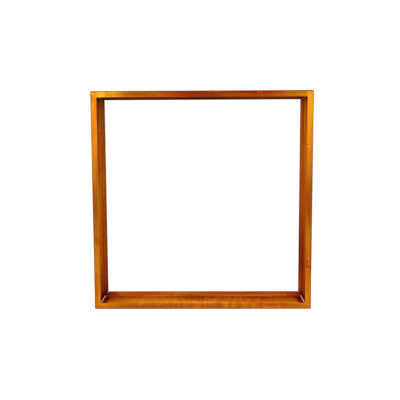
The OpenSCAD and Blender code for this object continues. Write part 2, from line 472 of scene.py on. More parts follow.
def ring_places(half, corner_round, step):
    """Distances of a board's rings from its nearer end, from one end to the other."""
    mitre = corner_round * (1 - math.sqrt(0.5))
    close = [blend(mitre, corner_round, i / 4) for i in range(4)] + [mitre + 0.25 * MM]
    steps = round((half - corner_round) / step)
    even = [blend(corner_round, half, i / steps) for i in range(steps)]
    first = sorted(close) + even
    return first + [half] + first[::-1]


class Board:
    """A mitred board: where its points are, and what the finish needs to know of them."""

    def __init__(self, side, y_range, z_range, radii, seed, sizes):
        self.side = side
        self.seed = seed
        self.half = SIDE_LENGTH[side] / 2
        self.points = []
        is_rail = z_range[0] == 0
        places = ring_places(self.half, sizes.corner_round, sizes.board_step)
        for i, from_end in enumerate(places):
            first_half = i < len(places) / 2
            along = from_end if first_half else 2 * self.half - from_end
            worn = [radius * (1 + WEAR * unevenness(along, seed)) for radius in radii]
            if side == "top":
                worn[0] *= 1 + KNOCK * hump(along - KNOCK_PLACE, KNOCK_REACH)
            if side == "bottom" and is_rail:
                # This edge is rounder at its ends.
                worn[0] *= 1 - 0.45 * eased(from_end, 2 * MM, 12 * MM)
            section = board_section(y_range, z_range, worn)
            is_end = i in (0, len(places) - 1)
            if is_end:
                section = shrunk(section, sizes.mitre_groove)
            lift = corner_lift(from_end, sizes.corner_round) if is_rail else 0.0
            self.add_ring(section, from_end, lift, -1 if first_half else 1)
        self.rings = len(places)
        self.around = len(self.points) // self.rings

    def add_ring(self, section, from_end, lift, way):
        """One ring of points, spread so that the ends of the board become mitres."""
        part = way * (self.half - from_end) / (self.half - lift)
        for y, z in section:
            inset = max(z, lift)
            self.points.append(Vector((part * (self.half - inset), y, inset)))

    def build(self, name, cutters=()):
        """The board with its cuts made, and what its finish needs stored on its points."""
        side = self.side
        obj = make_object(name, self.points, ring_faces(self.rings, self.around), SIDE_PLACE[side])
        if cutters:
            cut_away(obj, cutters)
        lying = SIDE_PLACE[side].inverted()
        points = [lying @ vertex.co for vertex in obj.data.vertices]
        store(obj, "grain", [self.grain_place(p) for p in points])
        # Besides the wood's own tone, the values stored here carry painted shade at the corners and
        # in the seams, painted highlights near the upper corners and painted bounce light on the
        # walls.
        for layer, value_at in (
            ("stain", stain_and_painted_light_at), ("hue", hue_at), ("polish", polish_at),
            ("figure", figure_at), ("grime", grime_and_shade_at),
        ):
            store(obj, layer, [value_at(side, p) for p in points])
        return obj

    def grain_place(self, point):
        """Where a point lies in the timber that the board was sawn from."""
        return point + Vector((self.seed * 0.83, self.seed * 0.21, self.seed * 0.137))


def store(obj, name, values):
    """Keeps a number or a place for each point of a piece, for its material to read."""
    if isinstance(values[0], Vector):
        kept = obj.data.attributes.new(name, "FLOAT_VECTOR", "POINT")
        kept.data.foreach_set("vector", [c for v in values for c in v])
    else:
        kept = obj.data.attributes.new(name, "FLOAT", "POINT")
        kept.data.foreach_set("value", values)


# Tone of the stain at five even steps along each board, from its left or lower end to its
# right or upper end: 0 is the deepest red brown and 1 a pale honey. Near the upper corners
# the faces are paler with painted highlights.
FACE_TONES_AND_HIGHLIGHTS = {
    "left": (0.68, 0.68, 0.43, 0.85, 0.94),
    "right": (0.74, 0.67, 0.41, 0.84, 1.00),
    "top": (0.92, 0.48, 0.23, 0.38, 0.72),
    "bottom": (0.72, 0.49, 0.57, 0.65, 0.66),
}
WALL_TONES = {
    "left": (0.25, 0.48, 0.56, 0.48, 0.49),
    "right": (0.37, 0.33, 0.58, 0.67, 0.70),
    "top": (0.40, 0.41, 0.31, 0.56, 0.67),
    "bottom": (0.40, 0.53, 0.43, 0.40, 0.49),
}
# Change of tone from the front of a wall to its strip, at the same steps. On the bottom it
# darkens towards the strip: partly the stain and partly painted shade.
WALL_FADES = {
    "left": (0.25, -0.10, 0.01, 0.46, 0.62),
    "right": (0.30, -0.33, 0.05, -0.06, 0.80),
    "top": (0.42, 0.0, -0.04, 0.0, -0.12),
    "bottom": (-0.42, -0.34, -0.64, -0.42, -0.52),
}
# How much deeper the tone is halfway in from the front, at the same steps.
WALL_DIPS = {
    "left": (0.0, 0.0, 0.0, 0.0, 0.0),
    "right": (0.0, 0.10, -0.04, -0.02, -0.10),
    "top": (0.0, -0.04, 0.0, -0.03, 0.0),
    "bottom": (0.0, 0.03, 0.06, 0.16, 0.06),
}
STRIP_EDGE_TONES = {
    "left": (0.46, 0.56, 0.58, 0.55, 0.68),
    "right": (0.56, 0.42, 0.67, 0.63, 0.86),
    "top": (0.24, 0.14, 0.07, 0.17, 0.12),
    "bottom": (0.68, 0.61, 0.55, 0.71, 0.83),
}
STRIP_FLAT_TONES = {
    "left": (0.06, 0.24, 0.30, 0.36, 0.33),
    "right": (0.40, 0.08, 0.34, 0.53, 0.70),
    "top": (0.34, 0.36, 0.30, 0.46, 0.56),
    "bottom": (0.48, 0.35, 0.33, 0.30, 0.65),
}
# How far the stain turns towards yellow, or towards red below zero, in degrees of hue: along
# a board's face at the same steps.
FACE_HUES = {
    "left": (1.0, -1.0, 3.0, -2.0, -1.0),
    "right": (3.0, -3.0, 4.0, 1.0, -1.0),
    "top": (8.0, 0.0, -4.0, -4.0, 1.0),
    "bottom": (1.0, 2.0, -1.0, -7.0, 0.0),
}
# The same at the front and at the back of its wall, and on its strip's edge and flat. The
# redder walls are partly painted light bounced from wall to wall.
HUES = {
    "left": (1.0, -5.0, -4.0, 3.0),
    "right": (-1.0, -6.0, -4.0, 2.0),
    "top": (-6.0, -3.5, 4.0, 4.0),
    "bottom": (-1.0, 2.0, -6.0, 1.0),
}

# Painted shade in the lower corners, where the bottom board meets the side walls: how far it
# reaches along the bottom board from the left and from the right corner, the shares of that reach
# at which it starts to thin out and ends, how much darker it is, and its hue.
CornerShade = namedtuple("CornerShade", "left right full none dark hue")
WALL_CORNER_SHADE = CornerShade(left=9 * MM, right=10.5 * MM, full=0.75, none=1.1, dark=0.32, hue=-2.0)
STRIP_CORNER_SHADE = CornerShade(left=22 * MM, right=34 * MM, full=0.5, none=1.25, dark=0.16, hue=-5.0)

# The cross grain of the bottom rail: the middle of it, how far it reaches and how strongly it
# shows elsewhere.
FIGURE_PLACE = 25 * MM
FIGURE_REACH = 95 * MM
PLAIN = 0.15

# How brightly the varnish has been rubbed beside the inner front edge of each rail.
RUBBED = {"left": 1.0, "right": 0.8, "top": 1.0, "bottom": 0.4}
# How dark the outer front edge of each rail is made, from its left or lower end: partly dirt
# and partly painted shade where the rounded edge turns away from the light.
EDGE_GRIME_AND_SHADE = {
    "left": (0.80, 0.70, 0.60, 0.35, 0.50),
    "right": (0.80, 0.45, 0.30, 0.35, 0.90),
    "top": (0.80, 0.85, 0.90, 0.90, 1.0),
    "bottom": (0.90, 0.90, 0.75, 0.70, 0.70),
}


def value_along(values, share_along):
    """A tone or the like between the even steps of a board."""
    place = min(0.9999, max(0.0, share_along)) * (len(values) - 1)
    step = int(place)
    return blend(values[step], values[step + 1], eased(place - step, 0.0, 1.0))


def share_from_start(side, point):
    """0 at the left or lower end of a board and 1 at its right or upper end."""
    forwards = side in ("bottom", "right")
    return 0.5 + (point.x if forwards else -point.x) / SIDE_LENGTH[side]


def past_corner(side, point):
    """How far a point lies from the nearer inside corner, along its board."""
    return max(0.0, SIDE_LENGTH[side] / 2 - abs(point.x) - RAIL_T)


def corner_shade_kind(point):
    """The painted corner shade, of the wall or of the strip, that a point could lie in."""
    return STRIP_CORNER_SHADE if is_on_strip(point) else WALL_CORNER_SHADE


def corner_shade_share(side, point):
    """Share of the painted shade in the lower corners, on the bottom rail and its strip."""
    if side != "bottom" or is_outside(point):
        return 0.0
    shade_kind = corner_shade_kind(point)
    reach = shade_kind.left if share_from_start(side, point) < 0.5 else shade_kind.right
    ragged = 1 + 0.35 * noise.noise(Vector((point.x * 260, point.y * 170, 18.6)))
    past = ragged * past_corner(side, point)
    inside = eased(BACK_Y - point.y, 0.1 * MM, 1.2 * MM)
    return inside * (1 - eased(past, shade_kind.full * reach, shade_kind.none * reach))


def corner_shade_at(side, point):
    """Painted shade at the inside corners: how much darker a point is made near them."""
    past = past_corner(side, point)
    dark = (0.14 if is_on_strip(point) else 0.24) * hump(past, 8 * MM)
    dark += 0.08 * math.exp(-past / (20 * MM))
    # Painted shade at the lower ends of the side walls.
    if side in ("left", "right") and share_from_start(side, point) < 0.5:
        dark += 0.22 * (1 - eased(past, 4 * MM, 14 * MM))
    return dark + corner_shade_kind(point).dark * corner_shade_share(side, point)


def is_on_strip(point):
    """Whether a point lies on a strip, rather than on the rail that carries it."""
    on_edge = point.y > STOP_FRONT_Y and point.z > RAIL_T + FLUSH
    return on_edge or point.z > RAIL_T + HAIR


def is_outside(point):
    """Whether a point lies on the outer side or the back of a rail."""
    behind_strip = point.y > STOP_FRONT_Y + 1 * MM and point.z < RAIL_T + FLUSH
    return point.z < RAIL_T / 2 or behind_strip


def share_to_wall(side, point):
    """0 on the front face, 1 on the wall inside, and a quick change round the edge between."""
    onto_face = (0.4 if side == "bottom" else 0.8) * MM
    inset_past = max(0.0, point.z - RAIL_T + onto_face)
    return eased(point.y - FRONT_Y + 0.9 * inset_past, 0.1 * MM, 0.8 * MM)


def share_to_side(point):
    """0 on the front face and 1 on the outer side of a rail."""
    return eased(point.y - FRONT_Y, 1.5 * MM, 6 * MM)


def share_to_strip(point):
    """0 at the front of a wall and 1 where it meets its strip."""
    return min(1.0, (point.y - FRONT_Y) / RECESS)


def share_to_flat(point):
    """0 on the front edge of a strip and 1 on its flat."""
    return eased(point.y - STOP_FRONT_Y, 0.0, 1.2 * MM)


def stain_and_painted_light_at(side, point):
    """How pale a point of a board is, from 0 for deep to 1 for pale: the stain, with painted
    shade at the corners and deeper in the bottom recess, and painted highlights near the upper
    corners.
    """
    along = share_from_start(side, point)
    # Painted shade at the inside corners.
    deepened = corner_shade_at(side, point)
    if is_on_strip(point):
        edge = value_along(STRIP_EDGE_TONES[side], along)
        flat = value_along(STRIP_FLAT_TONES[side], along)
        return blend(edge, flat, share_to_flat(point)) - deepened
    face = value_along(FACE_TONES_AND_HIGHLIGHTS[side], along)
    if is_outside(point):
        return blend(face, 0.55 * face + 0.20, share_to_side(point))
    way_in = share_to_strip(point)
    wall = value_along(WALL_TONES[side], along) - deepened
    wall += value_along(WALL_FADES[side], along) * (way_in - 0.5)
    wall -= value_along(WALL_DIPS[side], along) * (4 * way_in * (1 - way_in) - 0.4)
    return blend(face, wall, share_to_wall(side, point))


def hue_at(side, point):
    """How many degrees a point of a board turns towards yellow: the stain, with painted tints of
    bounced light on the walls, of shade in the corners and of the highlight on the right edge.
    """
    face = value_along(FACE_HUES[side], share_from_start(side, point))
    if is_outside(point):
        return blend(face, 0.3 * face, share_to_side(point))
    front, back, strip_edge, strip_flat = HUES[side]
    # The painted shade in the lower corners is redder as well.
    deepened = corner_shade_share(side, point)
    if is_on_strip(point):
        strip = blend(strip_edge, strip_flat, share_to_flat(point))
        return blend(strip, STRIP_CORNER_SHADE.hue, deepened)
    wall = blend(blend(front, back, share_to_strip(point)), WALL_CORNER_SHADE.hue, deepened)
    # On the right the face turns redder beside the rubbed inner edge: the painted tint of the
    # highlight there.
    if side == "right":
        face -= 5 * polish_at(side, point)
    return blend(face, wall, share_to_wall(side, point))


def polish_at(side, point):
    """How bright the varnish has been rubbed beside the inner front edge, from 0 to 1."""
    depth, inset = point.y - FRONT_Y, point.z - RAIL_T
    return RUBBED[side] * hump(math.hypot(depth, inset + 1.0 * MM), 0.7 * MM)


def grime_and_shade_at(side, point):
    """How dark a point is made in the seams and along the edges, from 0 to 1: dirt and old
    finish, with painted shade along the outer front edge, in the corner before each strip and
    under the front of the top rail.
    """
    depth, inset = point.y - FRONT_Y, point.z - RAIL_T
    near_front = 1 - eased(depth, 1.5 * MM, 4 * MM)
    near_edge = 1 - eased(point.z, 0.8 * MM, 1.9 * MM)
    # Partly dirt and partly painted shade along the outer front edge.
    found = value_along(EDGE_GRIME_AND_SHADE[side], share_from_start(side, point)) * near_front * near_edge
    if inset > HAIR:
        # Painted shade on the front of a strip where it meets its wall.
        if depth < RECESS + 0.6 * MM:
            found += 0.3 * math.exp(-inset / (0.6 * MM))
        found += 0.5 * hump(BACK_Y - point.y, 1.2 * MM)
    elif inset > -2 * HAIR:
        # Painted shade in the corner before the strip, with dirt in the seam itself.
        if depth < RECESS:
            found += 0.38 * math.exp(-(RECESS - depth) / (2.2 * MM))
        # Painted shade under the front of the top rail.
        if side == "top":
            found += 0.5 * hump(depth - 1.4 * MM, 1.6 * MM)
    return min(1.0, found)


def figure_at(side, point):
    """How strongly the cross grain shows: most of all in the middle of the bottom rail."""
    if side != "bottom" or point.z > RAIL_T + HAIR:
        return PLAIN
    return blend(PLAIN, 1.0, hump(point.x - FIGURE_PLACE, FIGURE_REACH))


# ---------------------------------------------------------------- corners

def corner_place(corner):
    """From a corner's own axes, x and z inwards from the outside, to the frame."""
    high, right = corner.startswith("top"), corner.endswith("right")
    place = Matrix.Translation((
        FRAME_W / 2 if right else -FRAME_W / 2, 0, FRAME_H if high else 0
    ))
    return place @ Matrix.Diagonal((-1 if right else 1, 1, -1 if high else 1, 1))


def inner_corner_place(corner):
    """The same from the corner of the recess."""
    return corner_place(corner) @ Matrix.Translation((RAIL_T, 0, RAIL_T))


def nail_slot(corner, sizes):
    """Closed shape of the slot that the V nails of a corner were driven through."""
    node = corner + "_v_nails"
    sheet, lip = sizes.nail_sheet, sizes.nail_lip
    leg = span(node, "x") - lip
    start = RAIL_T / 2 - sheet / 2
    outline = [
        (0, 0), (leg - sheet, 0), (leg - sheet, -lip), (leg, -lip), (leg, sheet),
        (sheet, sheet), (sheet, leg), (-lip, leg), (-lip, leg - sheet), (0, leg - sheet),
    ]
    ends = (BACK_Y + 1 * MM, extent(node, "y")[0])
    points = [(start + x, y, start + z) for y in ends for x, z in outline]
    return make_object("slot", points, ring_faces(2, len(outline)), corner_place(corner))


def bead_ring(size, fullness, steps):
    """Section of a bead as (x, z) pairs: its back in the corner, and a hollow front.

    A fullness of 0 leaves the front as hollow as a quarter circle, and 1 makes it straight.
    """
    found = [(0.0, 0.0)]
    for x, z in arc((size, size), size, 180, 270, steps):
        to_straight = fullness * (size - x - z) / 2
        found.append((x + to_straight, z + to_straight))
    return found


def glue_bead(corner, seed):
    """Glue that ran out of a mitre, down the inside of its corner and over the strips' ends."""
    node = corner + "_glue_bead"
    high = corner.startswith("top")
    y_start, y_end = extent(node, "y")
    leg = span(node, "x")
    rings, steps = 64, 8
    # The upper beads were wiped flatter.
    flatness = 0.6 if high else 1.0
    thin_until = 0.08 + 0.03 * noise.noise(Vector((seed * 2.3, 0.5, 0)))
    # How much each lump adds, how far along the bead it lies and how long it is, as shares.
    lumps = ((0.30, thin_until + 0.14, 0.07), (0.24, 0.55, 0.05), (0.60, 0.97, 0.07))
    points = []
    for i in range(rings + 1):
        s = i / rings
        y = blend(y_start, y_end, s)
        drift = noise.noise(Vector((s * 11, seed * 3.1, 0)))
        body = 0.42 + (0.22 + 0.14 * drift) * eased(s, thin_until - 0.04, thin_until + 0.08)
        body += sum(lump * hump(s - at, reach) for lump, at, reach in lumps)
        size = leg * min(body, 1.25)
        points += [(x, y, flatness * z) for x, z in bead_ring(size, 0.62, steps)]
    bead = make_object(
        "bead", points, ring_faces(rings + 1, steps + 2), inner_corner_place(corner), 60
    )
    smear = mitre_smear(corner, y_end, seed)
    # The upper beads and smears are darkened, partly for varnish over them and partly as painted
    # shade under the top rail.
    for part, varnish in ((bead, 0.95 if high else 0.0), (smear, 0.35 if high else 0.0)):
        store(part, "varnish", [varnish] * len(part.data.vertices))
    return joined(node + "_run", [bead, smear])


def mitre_smear(corner, y, seed):
    """Glue left along the mitre of two strips, on their front edges."""
    rings, around = 12, 8
    points = []
    for i in range(rings + 1):
        s = i / rings
        along = STOP_T * (0.02 + 0.96 * s)
        width = (0.42 + 0.12 * noise.noise(Vector((s * 5, seed * 1.7, 2.0)))) * MM
        width *= math.sqrt(max(0.05, 1 - (1.1 * s - 0.1) ** 4)) * (1 - 0.35 * s)
        for off, lift in circle(1.0, around):
            aside = width * off * math.sqrt(0.5)
            points.append((along - aside, y - (0.02 + 0.30 * lift) * MM, along + aside))
    place = inner_corner_place(corner)
    return make_object("smear", points, ring_faces(rings + 1, around), place, 60)


# ---------------------------------------------------------------- brads, hangers and bumpers

# Depth in a strip about which its slanting brads keep to their row, how far they slant, in
# degrees, and how far their heads stand off the strip.
BRAD_PIVOT = 3.4 * MM
BRAD_SLANT = 24
BRAD_LIFT = 0.12 * MM


def brads(side, sizes):
    """The row of brads of one strip, their heads a hair proud of it."""
    node = side + "_stop_brads"
    along, through = ("x", "z") if side in ("top", "bottom") else ("z", "x")
    head_r = span(node, "y") / 2
    reach = span(node, along) / 2 - head_r
    depth = span(node, through)
    head_t = sizes.brad_head
    shank = sizes.brad_shank / 2
    tip = head_t - depth
    profile = [
        (0, 0.78 * head_t), (0.3 * head_r, 0.84 * head_t), (0.62 * head_r, head_t),
        (0.86 * head_r, 0.86 * head_t), (head_r, 0.5 * head_t), (0.96 * head_r, 0.16 * head_t),
        (1.1 * shank, 0), (shank, -0.4 * MM), (shank, tip + 1.2 * MM), (0.2 * shank, tip),
        (0, tip),
    ]
    points, faces = lathe(profile[::-1], 24)
    made = []
    count = sizes.brads_per_strip
    for i in range(count):
        slant = BRAD_SLANT + 3 * noise.noise(Vector((i * 3.7, len(side), 0.5)))
        pivot = Vector((
            reach * (2 * i / (count - 1) - 1), centre(node).y, INNER_FACE + BRAD_LIFT - BRAD_PIVOT
        ))
        place = (
            SIDE_PLACE[side] @ Matrix.Translation(pivot)
            @ Matrix.Rotation(math.radians(slant), 4, "X") @ Matrix.Translation((0, 0, BRAD_PIVOT))
        )
        made.append(make_object("brad", points, faces, place, 50))
    return joined(side + "_brad_row", made)


# How far below its middle the strap's sheet leaves the rolled eye, in degrees.
EYE_WRAP = 52


def sheet_path(eye_r, sheet, low):
    """Centre line of the folded strap in its (y, z) plane, from one free end to the other."""
    run_r = eye_r - sheet / 2
    up = [(sheet / 2, z) for z in (low, 0.75 * low, 0.4 * low, -eye_r)]
    over = arc((eye_r, 0), run_r, 180, -EYE_WRAP, 22)
    start, end = Vector(over[-1]), Vector((1.5 * sheet, -1.9 * eye_r))
    wrap = math.radians(EYE_WRAP)
    pull = (end - start).length / 3
    settle = interpolate_bezier(
        start, start - pull * Vector((math.sin(wrap), math.cos(wrap))),
        end + pull * Vector((0, 1)), end, 9,
    )
    down = [(end.x, blend(end.y, low, s)) for s in (0.25, 0.5, 0.75, 1.0)]
    return up + over + settle[1:] + down


def strap(hand, sizes):
    """Hanger strap: a sheet folded round the ring's wire, with a round end and a screw hole."""
    node = hand + "_hanger_strap"
    width = span(node, "x")
    eye_r = span(node, "y") / 2
    low, high = extent(node, "z")
    pivot_z = high - eye_r
    sheet = sizes.strap_sheet
    tip = low - pivot_z
    round_z = tip + width / 2
    path = refined(sheet_path(eye_r, sheet, tip + 0.02 * MM), 0.5 * MM)
    edge = 0.14 * MM
    half_t = sheet / 2 - 0.015 * MM
    corners = ((1, 1), (-1, 1), (-1, -1), (1, -1))
    points = []
    for i, (y, z) in enumerate(path):
        along = heading_at(path, i)
        half_w = width / 2
        if z < round_z:
            half_w = max(math.sqrt(max(0.0, half_w ** 2 - (z - round_z) ** 2)), 0.3 * MM)
        for k, (a, b) in enumerate(corners):
            for u, v in arc((0, 0), edge, 90 * k, 90 * k + 90, 3):
                x = a * (half_w - edge) + u
                off = b * (half_t - edge) + v
                points.append((x, y + off * along.y, z - off * along.x))
    place = Matrix.Translation((centre(node).x, BACK_Y, pivot_z))
    folded = make_object(node + "_folded", points, ring_faces(len(path), 16), place, 50)
    cut_away(folded, [screw_hole(hand, sizes)])
    return folded


def screw_hole(hand, sizes):
    """Closed shape of the hole for the screw, through both layers of a strap."""
    radius = sizes.screw_shank / 2 + 0.15 * MM
    start, end = -2 * MM, 4 * MM
    points, faces = lathe([(0, start), (radius, start), (radius, end), (0, end)], 32)
    middle = centre(hand + "_hanger_screw")
    return make_object("hole", points, faces, out_of_back(middle.x, BACK_Y, middle.z))


def ring(hand):
    """D ring: one bent wire, its two ends meeting inside the rolled eye."""
    node = hand + "_hanger_ring"
    pivot = next(Vector(j["pos_m"]) for j in frame["joints"] if j["child"] == hand + "_ring")
    low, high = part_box(node)
    wire_r = pivot.y - low.y
    half_w = span(node, "x") / 2 - wire_r
    # Where the lowest point of the wire hangs, from which its lean and its length follow.
    out, drop = high.y - wire_r - pivot.y, pivot.z - low.z - wire_r
    lean = math.atan2(out, drop)
    leg = math.hypot(out, drop) - half_w
    bend = 1.1 * MM
    half_gap = 0.12 * MM
    line = [(half_gap, 0.0), (half_w * 0.4, 0.0)]
    line += arc((half_w - bend, -bend), bend, 90, 0, 8)
    line += [(half_w, -leg * 0.6)]
    line += arc((0, -leg), half_w, 0, -180, 40)
    line += [(-half_w, -leg * 0.6)]
    line += arc((bend - half_w, -bend), bend, 180, 90, 8)
    line += [(-half_w * 0.4, 0.0), (-half_gap, 0.0)]
    around = 20
    points = []
    for i, (x, z) in enumerate(line):
        along = heading_at(line, i)
        for off, y in circle(wire_r, around):
            points.append((x - along.y * off, y, z + along.x * off))
    place = Matrix.Translation(pivot) @ Matrix.Rotation(lean, 4, "X")
    return make_object(node + "_wire", points, ring_faces(len(line), around), place, 60)


# Angle at which the cross recess of a screw came to rest.
RECESS_TURN = 0.35


def screw(hand, sizes):
    """Pan head screw with a turned thread and a cross recess."""
    node = hand + "_hanger_screw"
    head_r = span(node, "x") / 2
    seat = BACK_Y + 2 * sizes.strap_sheet
    head_h = extent(node, "y")[1] - seat
    tip = extent(node, "y")[0] - seat
    core, crest = 0.36 * sizes.screw_shank, 0.5 * sizes.screw_shank
    thread_steps = round((-tip - 0.9 * MM) / (sizes.screw_pitch / 8))
    around = 28
    turns = [math.tau * j / around for j in range(around)]
    rows = [(tip + 0.02 * MM, [0.12 * core] * around)]
    for i in range(thread_steps + 1):
        up = 0.1 * MM + (-tip - 1.0 * MM) * i / thread_steps
        rows.append((
            tip + up, [thread_radius(turn, up, core, crest, sizes.screw_pitch) for turn in turns]
        ))
    for radius, z in (
        (crest, -0.5 * MM), (crest, 0.0), (0.97 * head_r, 0.0), (head_r, 0.12 * head_h),
        (head_r, 0.42 * head_h), (0.93 * head_r, 0.66 * head_h), (0.78 * head_r, 0.83 * head_h),
        (0.55 * head_r, 0.94 * head_h), (0.28 * head_r, 0.985 * head_h),
    ):
        rows.append((z, [radius] * around))
    points = [(0.0, 0.0, tip)]
    for z, radii in rows:
        points += [(r * math.cos(turn), r * math.sin(turn), z) for r, turn in zip(radii, turns)]
    points.append((0.0, 0.0, head_h))
    middle = centre(node)
    place = out_of_back(middle.x, seat, middle.z)
    turned = make_object(node + "_turned", points, pole_faces(len(rows), around), place, 35)
    cut_away(turned, [
        cross_arm(place, head_r, head_h, turn)
        for turn in (RECESS_TURN, RECESS_TURN + math.pi / 2)
    ])
    weld(turned, 0.001 * MM)
    return turned


def thread_radius(turn, height, core, crest, pitch):
    """Radius of the thread at an angle and a height above the tip."""
    phase = (height / pitch - turn / math.tau) % 1.0
    ridge = max(0.0, 1 - abs(phase - 0.5) * 4)
    return blend(core, crest, ridge) * min(1.0, 0.15 + height / (2.4 * pitch))


def cross_arm(place, head_r, head_h, turn):
    """One arm of the cross recess, narrower at its bottom."""
    points = []
    # Half its width, its reach and its height, at the bottom and above the head, as shares.
    for width, reach, z in ((0.09, 0.26, 0.35), (0.2, 0.66, 1.3)):
        for sx, sy in ((-1, -1), (1, -1), (1, 1), (-1, 1)):
            points.append((sx * reach * head_r, sy * width * head_r, z * head_h))
    return make_object("arm", points, ring_faces(2, 4), place @ Matrix.Rotation(turn, 4, "Z"))


def bumper(hand, sizes):
    """Soft round pad on its thin disc of adhesive."""
    node = hand + "_bumper"
    radius = span(node, "x") / 2
    height = span(node, "y")
    rim = sizes.bumper_rim
    adhesive = 0.25 * MM
    profile = [
        (0, 0), (0.95 * radius, 0), (0.95 * radius, adhesive), (0.985 * radius, adhesive),
        (radius, 2 * adhesive),
        *arc((radius - rim, height - rim), rim, 0, 90, 8),
        (0.4 * radius, height), (0, height),
    ]
    points, faces = lathe(profile, 40)
    middle = centre(node)
    place = out_of_back(middle.x, BACK_Y, middle.z)
    return make_object(node + "_pad", points, faces, place, 35)


# ---------------------------------------------------------------- finishes

class Graph:
    """A shader graph. An input that is given as a socket is linked, and any other is set."""

    def __init__(self, tree):
        self.tree = tree

    def feed(self, node, inputs):
        """Gives a node its inputs."""
        for key, value in inputs.items():
            if isinstance(value, bpy.types.NodeSocket):
                self.tree.links.new(value, node.inputs[key])
            else:
                node.inputs[key].default_value = value

    def add(self, kind, inputs=None, **choices):
        """A new node with its inputs and the choices that it is set to."""
        node = self.tree.nodes.new(kind)
        for name, value in choices.items():
            setattr(node, name, value)
        self.feed(node, inputs or {})
        return node

    def math(self, operation, a, b):
        """A sum, a product or the like of two numbers."""
        return self.add("ShaderNodeMath", {0: a, 1: b}, operation=operation).outputs[0]


class Finish(Graph):
    """A material and its shader graph, which each finish fills in."""

    def __init__(self, name):
        self.material = bpy.data.materials.new(name)
        self.material.use_nodes = True
        super().__init__(self.material.node_tree)

    def set(self, **inputs):
        """Inputs of the surface, such as Metallic, with _ for a space."""
        surface = self.tree.nodes["Principled BSDF"]
        self.feed(surface, {name.replace("_", " "): value for name, value in inputs.items()})

    def stored(self, name, output="Fac"):
        """What was stored on the points of the piece."""
        return self.add("ShaderNodeAttribute", attribute_name=name).outputs[output]

    def place(self):
        """Where a point of the surface lies on the frame."""
        return self.add("ShaderNodeTexCoord").outputs["Object"]

    def vector_math(self, operation, a, b):
        """The node for a sum, a product or a distance of two vectors."""
        return self.add("ShaderNodeVectorMath", {0: a, 1: b}, operation=operation)

    def noise(self, vector, scale, detail=3.0, roughness=0.55):
        """Cloudy noise from 0 to 1, with this many clouds to a metre along each axis."""
        if isinstance(scale, tuple):
            vector = self.vector_math("MULTIPLY", vector, scale).outputs[0]
            scale = 1.0
        node = self.add("ShaderNodeTexNoise", {
            "Vector": vector, "Scale": scale, "Detail": detail, "Roughness": roughness,
        })
        return node.outputs["Fac"]

    def remap(self, value, low, high, to_low=0.0, to_high=1.0):
        """A smooth change from one number to another as the value passes from low to high."""
        node = self.add("ShaderNodeMapRange", {
            "Value": value, "From Min": low, "From Max": high,
            "To Min": to_low, "To Max": to_high,
        }, interpolation_type="SMOOTHSTEP")
        return node.outputs["Result"]

    def weighted(self, layer, weight):
        """A texture from 0 to 1 as a change either way."""
        return self.math("MULTIPLY", self.math("SUBTRACT", layer, 0.5), weight)

    def ramp(self, value, *stops):
        """Colours that follow one another as the value rises, each with its own value."""
        node = self.add("ShaderNodeValToRGB", {"Fac": value})
        elements = node.color_ramp.elements
        while len(elements) < len(stops):
            elements.new(0.5)
        for element, (place, shade) in zip(elements, stops):
            element.position = place
            element.color = (*shade, 1.0)
        return node.outputs["Color"]

    def uneven(self, value, shade, darkest):
        """A colour that drops to a share of itself as the value falls to 0."""
        return self.ramp(value, (0.0, [darkest * part for part in shade]), (1.0, shade))

    def mixed(self, factor, under, shade):
        """A colour with some of a plain shade laid over it."""
        # Inputs 6 and 7 of this node are its two colours, and output 2 is the mixed one.
        node = self.add("ShaderNodeMix", {
            "Factor": factor, 6: under, 7: (*shade, 1.0),
        }, data_type="RGBA")
        return node.outputs[2]

    def marked(self, mark):
        """Change of tone round a mark, which is a knot, a blemish or a painted glint."""
        away = self.vector_math("DISTANCE", self.place(), mark.place).outputs["Value"]
        return self.remap(away, 0.25 * mark.reach, mark.reach, mark.change, 0.0)

    def bump(self, height, strength, distance, **normal):
        """Small relief, raised by a distance where the height is 1."""
        inputs = {"Height": height, "Strength": strength, "Distance": distance, **normal}
        return self.add("ShaderNodeBump", inputs).outputs["Normal"]


class Mark:
    """A knot, a blemish or a painted glint on the front, and how much paler it is than the wood
    round it.

    Its place, from the middle of the frame and from its underside, and its reach are in
    millimetres.
    """

    def __init__(self, x, z, reach, change):
        self.place = (x * MM, FRONT_Y, z * MM)
        self.reach = reach * MM
        self.change = change


MARKS_AND_GLINTS = {
    "right": (
        Mark(158.9, 73.3, 3.2, -0.26), Mark(158.5, 66.2, 3.4, -0.18), Mark(163.2, 64.5, 2.6, -0.30),
        Mark(158.8, 79, 2.2, 0.14), Mark(158.5, 62, 3.0, 0.12), Mark(161.2, 72.5, 2.2, 0.18),
        Mark(157.2, 250, 1.3, -0.34), Mark(158.0, 247.6, 2.0, 0.22),
    ),
    "left": (Mark(-160, 105, 10, -0.14), Mark(-161.5, 60, 6, 0.08), Mark(-164, 318, 9, -0.16)),
    # On the top rail these are painted: glints along the knocked edge, highlights near both upper
    # corners and glints at the inner corners.
    "top": (
        Mark(83, 328.6, 2.4, 0.34), Mark(87.5, 328.2, 1.8, 0.28), Mark(93, 328.4, 1.4, 0.2),
        Mark(-149, 325, 9, 0.16), Mark(-128, 326, 14, 0.12), Mark(158.5, 325, 7, 0.22),
        Mark(-150, 318.7, 3.6, 0.9), Mark(151.3, 318.7, 3.3, 1.1),
    ),
    "bottom": (Mark(-150, 3, 9, 0.10), Mark(-95, 7, 7, 0.08)),
}


# The colours of the wood in even steps of tone, from 0 for the deepest to the palest.
WOOD_COLOURS = ("deep", "russet", "red_amber", "amber", "honey", "pale", "straw")
PALEST = 1.2
# How many degrees a change of 1 turns a hue.
FULL_TURN = 360


